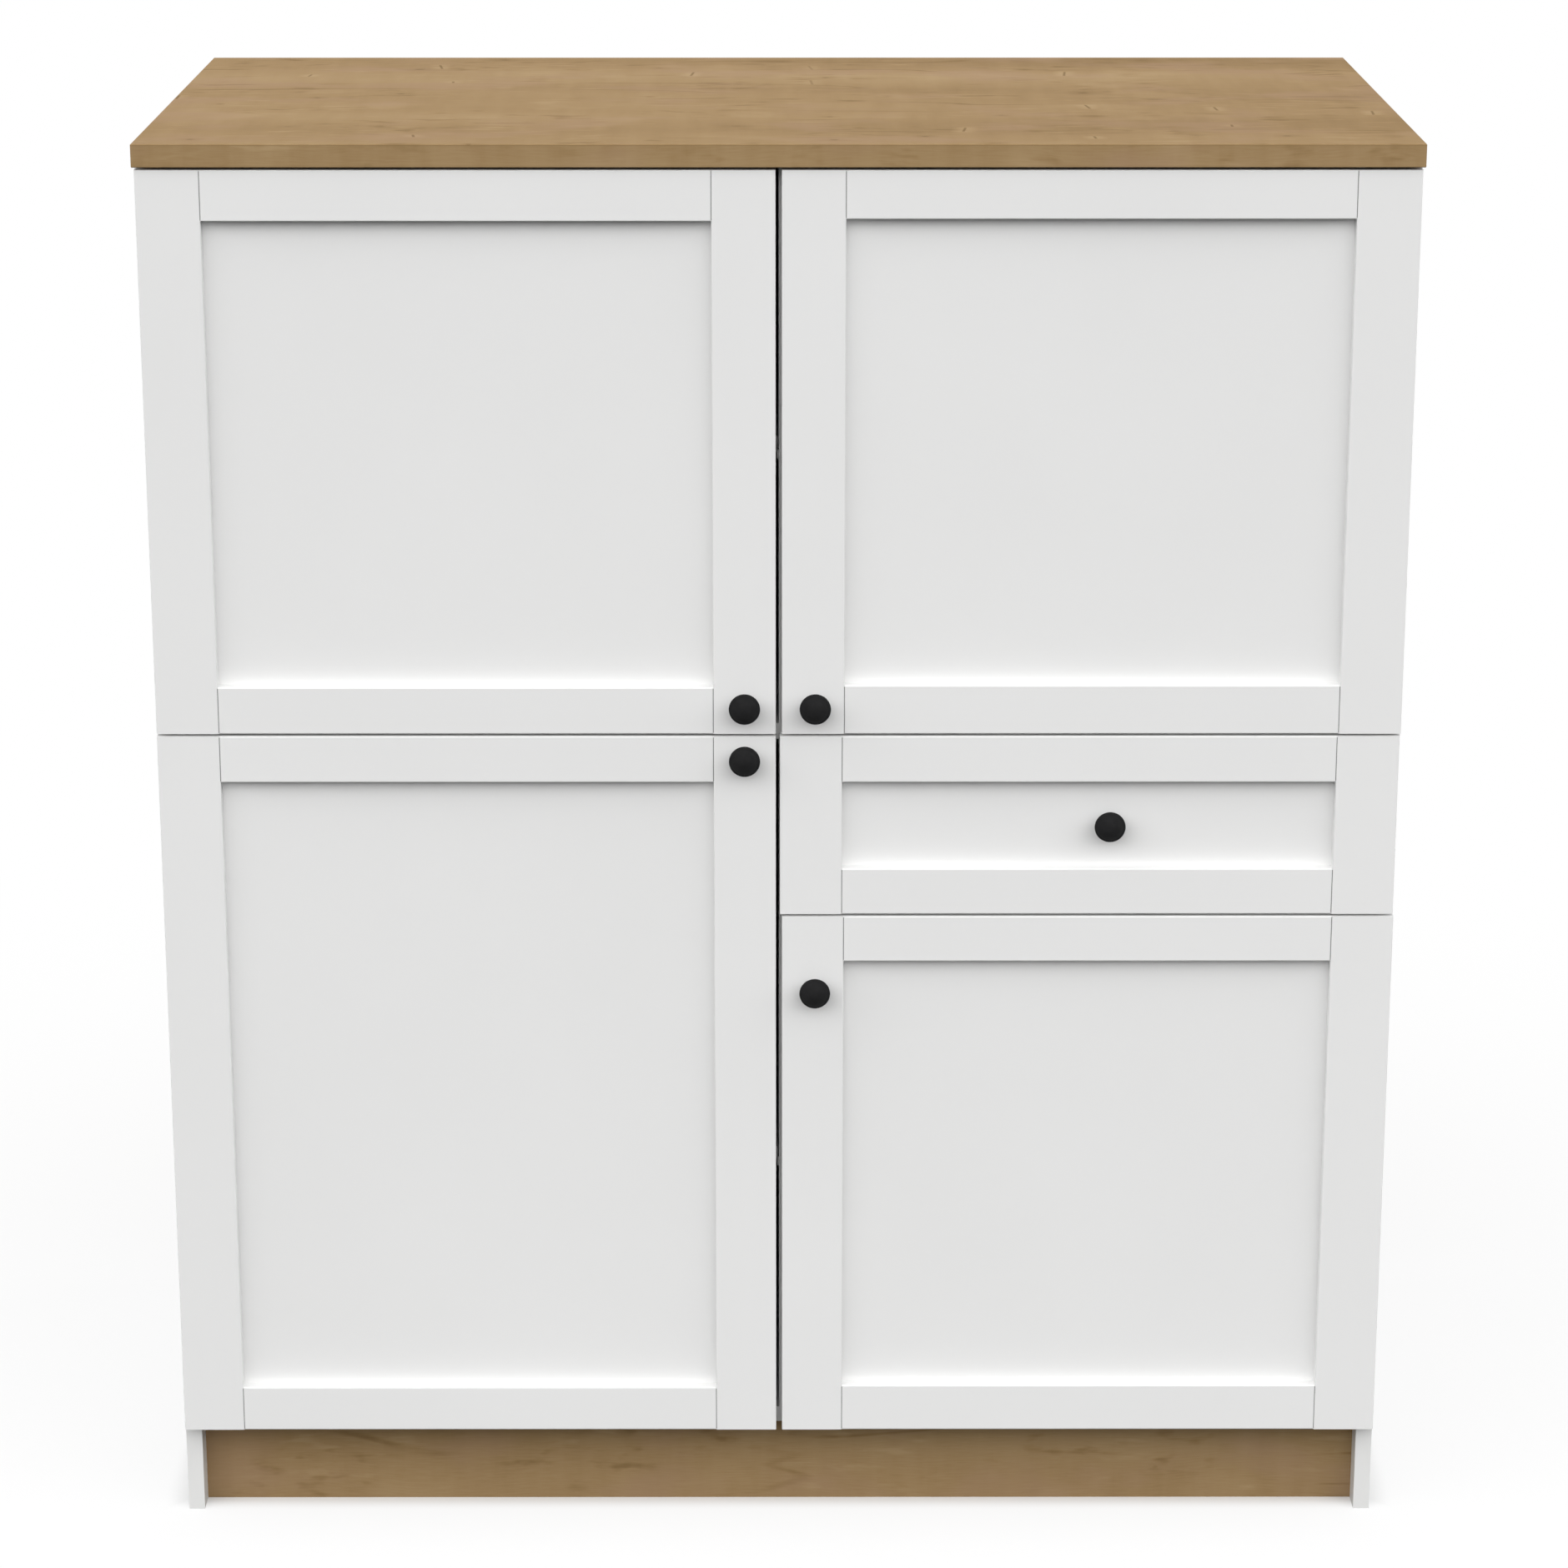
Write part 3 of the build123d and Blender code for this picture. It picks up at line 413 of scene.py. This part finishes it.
def cover(w, surface, finish, strength, depth):
    """Gives a shader the colour, the roughness and the bumps of a group."""
    w.put(finish["Colour"], surface["Base Color"])
    w.put(finish["Roughness"], surface["Roughness"])
    bumps = w.add("Bump", {"Strength": strength, "Distance": depth, "Height": finish["Height"]})
    w.put(bumps.outputs[0], surface["Normal"])


def cover_evenly(w, surface, spot, even_finish, colour, rough, look):
    """Gives a shader an even finish, in a colour and a roughness of its own."""
    finish = place_group(w, even_finish, {
        "Vector": spot, "Colour": colour, "Mottle": look["mottle"], "Patch Size": look["patch"],
        "Grain Size": look["grain"], "Roughness": rough, "Spread": look["spread"]})
    cover(w, surface, finish, look["bump"], look["depth"])


def plain_material(name, even_finish, look):
    """An evenly finished surface, from its row in the table of finishes."""
    material, w, surface, spot = new_material(name)
    surface["Metallic"].default_value = look.get("metal", 0.0)
    surface["Specular IOR Level"].default_value = look.get("specular", plain_specular)
    cover_evenly(w, surface, spot, even_finish, look["colour"], look["rough"], look)
    return material


def oak_material(oak, half_length, underside, top):
    """Oak decor under a dull coat, for a worktop this long between two heights, and for the
    plinth board below it. A fine dark line shows under the worktop's upper face, where its
    foil meets the edge strips."""
    material, w, surface, spot = new_material("oak")
    height = w.parts(spot)[2]
    arris = w.times(w.ramp(height, top - arris_low, top - arris_middle),
                    w.ramp(height, top - arris_high, top - arris_middle))
    edge = w.times(w.maths("GREATER_THAN", height, underside - edge_margin),
                   w.maths("LESS_THAN", height, top - arris_high))
    decor = place_group(w, oak, {
        "Vector": spot, "Half Length": half_length, "Arris": arris, "Narrow Edge": edge,
        "Pale": oak_pale, "Middle": oak_middle, "Dark": oak_dark, "Knot": oak_knot,
        "Blush": oak_blush})
    surface["Specular IOR Level"].default_value = oak_specular
    cover(w, surface, decor, oak_bump, oak_depth)
    return material


def back_sheet_material(even_finish, middle_y):
    """Thin hardboard: white foil inside, bare brown fibre behind."""
    material, w, surface, spot = new_material("back_sheet")
    rear = w.maths("GREATER_THAN", w.parts(spot)[1], middle_y)
    fibres = w.noise(w.scaled(spot, sheet_fibres), sheet_fibre_detail)
    brown = w.mix_colour(w.ramp(fibres, *sheet_fibre_band), sheet_dark, sheet_pale)
    cover_evenly(w, surface, spot, even_finish, w.mix_colour(rear, sheet_foil, brown),
                 w.mix(rear, *sheet_rough), sheet_look)
    return material


def seen_share(w):
    """1 for rays that carry the background to the eye, straight, mirrored or through glass."""
    path = w.add("LightPath", {}).outputs
    seen = w.maths("MAXIMUM", path["Is Camera Ray"], path["Is Glossy Ray"])
    return w.maths("MAXIMUM", seen, path["Is Transmission Ray"])


def build_world():
    """A soft dome, brighter over the front than behind, that looks plain white."""
    world = bpy.data.worlds.new("studio_dome")
    bpy.context.scene.world = world
    world.use_nodes = True
    world.node_tree.nodes.clear()
    w = Wiring(world.node_tree)
    ray = w.parts(w.add("TexCoord", {}).outputs["Generated"])
    height = w.maths("MAXIMUM", ray[2], 0.0)
    front = w.mix(w.ramp(height, *front_bands[0]), front_low, front_middle)
    front = w.mix(w.ramp(height, *front_bands[1]), front, front_high)
    back = w.mix(w.ramp(height, *back_band), back_low, back_high)
    level = w.mix(w.ramp(ray[1], *front_edge), back, front)
    level = w.mix(w.ramp(ray[2], *below_band), below, level)
    strength = w.mix(seen_share(w), level, 1.0)
    dome = w.add("Background", {"Color": white, "Strength": strength})
    w.add("OutputWorld", {"Surface": dome.outputs[0]})


def build_floor():
    """A flat white floor that keeps the cabinet's shadow, strongest where it stands. Its
    corners are (-1 or 1, -1 or 1, 0) times half its width."""
    half_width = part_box("side_panel_right")[1].x
    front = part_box("plinth_board")[0].y
    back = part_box("side_panel_right")[1].y
    corners = np.array([(-1, -1, 0), (1, -1, 0), (1, 1, 0), (-1, 1, 0)]) * floor_half
    mesh = bpy.data.meshes.new("floor")
    mesh.from_pydata(corners.tolist(), [], [(0, 1, 2, 3)])
    floor = bpy.data.objects.new("floor", mesh)
    bpy.context.scene.collection.objects.link(floor)
    material = bpy.data.materials.new("floor")
    material.use_nodes = True
    material.node_tree.nodes.clear()
    w = Wiring(material.node_tree)
    spot = w.add("TexCoord", {}).outputs["Object"]
    distance = w.add("VectorMath", {0: spot}, operation="LENGTH").outputs["Value"]
    place = w.parts(spot)
    beside = w.maths("SUBTRACT", w.maths("ABSOLUTE", place[0]), half_width)
    before = w.maths("SUBTRACT", front, place[1])
    behind = w.plus(place[1], -back)
    off = w.maths("MAXIMUM", beside, w.maths("MAXIMUM", before, behind))
    near = w.mix(w.ramp(off, 0.0, contact_width), floor_contact, floor_near)
    seen = seen_share(w)
    clear = w.times(seen, w.mix(w.ramp(distance, *floor_clear), near, 1.0))
    tone = w.mix(seen, floor_bounce, floor_seen)
    matt = w.add("BsdfDiffuse", {"Color": w.vector(tone, tone, tone)})
    light = w.add("Emission", {"Color": white, "Strength": 1.0})
    surface = w.add("MixShader", {0: clear, 1: matt.outputs[0], 2: light.outputs[0]})
    w.add("OutputMaterial", {"Surface": surface.outputs[0]})
    mesh.materials.append(material)


def build_camera():
    """The camera, where the photograph was taken from."""
    data = bpy.data.cameras.new("camera")
    data.lens = camera_lens
    data.sensor_width = camera_sensor
    data.clip_end = camera_reach
    camera = bpy.data.objects.new("camera", data)
    camera.location = camera_place
    camera.rotation_euler = (camera_tilt, 0.0, camera_turn)
    bpy.context.scene.collection.objects.link(camera)
    bpy.context.scene.camera = camera


def dress_nodes(frame):
    """Gives every node the material of its slot in the record."""
    even_finish = even_finish_group()
    low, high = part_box("worktop")
    sheet_low, sheet_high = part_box("back_panel_left")
    materials = {
        "oak": oak_material(oak_group(), high.x - end_inset, low.z, high.z),
        "back_sheet": back_sheet_material(even_finish, (sheet_low.y + sheet_high.y) / 2)}
    for slot, look in finishes.items():
        materials[slot] = plain_material(slot, even_finish, look)
    for row in frame["record"]["subparts"]:
        node = frame["nodes"][row["node"]]
        node.data.materials.clear()
        node.data.materials.append(materials[row["material_slot"]])
    return materials


def bars(name, boxes):
    """Closed flat bars. Each corner of a bar is its lowest corner plus its size times 0 or 1
    along X, Y and Z, and each bar's six faces join the same eight corners."""
    steps = np.array([(i, j, k) for k in (0, 1) for j in (0, 1) for i in (0, 1)], dtype=float)
    faces = np.array([(0, 2, 3, 1), (4, 5, 7, 6), (0, 1, 5, 4),
                      (2, 6, 7, 3), (0, 4, 6, 2), (1, 3, 7, 5)])
    low, high = np.array([box[0] for box in boxes]), np.array([box[1] for box in boxes])
    corners = low[:, None, :] + steps[None, :, :] * (high - low)[:, None, :]
    joined = faces[None, :, :] + len(steps) * np.arange(len(boxes))[:, None, None]
    mesh = bpy.data.meshes.new(name)
    mesh.from_pydata(corners.reshape(-1, 3).tolist(), [], joined.reshape(-1, 4).tolist())
    piece = bpy.data.objects.new(name, mesh)
    bpy.context.scene.collection.objects.link(piece)
    return piece


def add_painted_joint_shade(finish):
    """Painted shade: a fine dark bar at the bottom of each joint between a rail and a stile,
    in place of the shade in its groove.
    """
    for front, body in fronts.items():
        panel_low, panel_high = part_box(front + "_panel")
        rails_low, rails_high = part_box(front + "_rails")
        face = rails_low.y + shade_bar_depth
        rails = ((rails_low.z, panel_low.z + panel_seat),
                 (panel_high.z - panel_seat, rails_high.z))
        boxes = []
        for joint in (rails_low.x + tenon, rails_high.x - tenon):
            for low, high in rails:
                boxes.append(((joint - shade_bar_width / 2, face, low + shade_bar_end),
                              (joint + shade_bar_width / 2, face + shade_bar_body, high - shade_bar_end)))
        lines = bars(front + "_painted_joint_shade_bars", boxes)
        lines.data.materials.append(finish)
        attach(lines, body)


with open("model.json") as file:
    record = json.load(file)
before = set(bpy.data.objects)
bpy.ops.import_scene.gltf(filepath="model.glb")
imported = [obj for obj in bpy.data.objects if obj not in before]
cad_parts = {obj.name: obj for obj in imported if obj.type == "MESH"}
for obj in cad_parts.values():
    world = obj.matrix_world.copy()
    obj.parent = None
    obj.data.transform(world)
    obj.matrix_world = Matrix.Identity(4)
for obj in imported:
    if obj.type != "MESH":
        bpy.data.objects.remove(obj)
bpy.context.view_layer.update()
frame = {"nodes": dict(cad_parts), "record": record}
bpy.context.scene.view_settings.view_transform = "Standard"
build_camera()
build_world()
build_floor()
materials = dress_nodes(frame)
# painted shade: dark bars in the rail and stile joints, in place of the shade in their grooves
add_painted_joint_shade(materials["joint_shade_paint"])
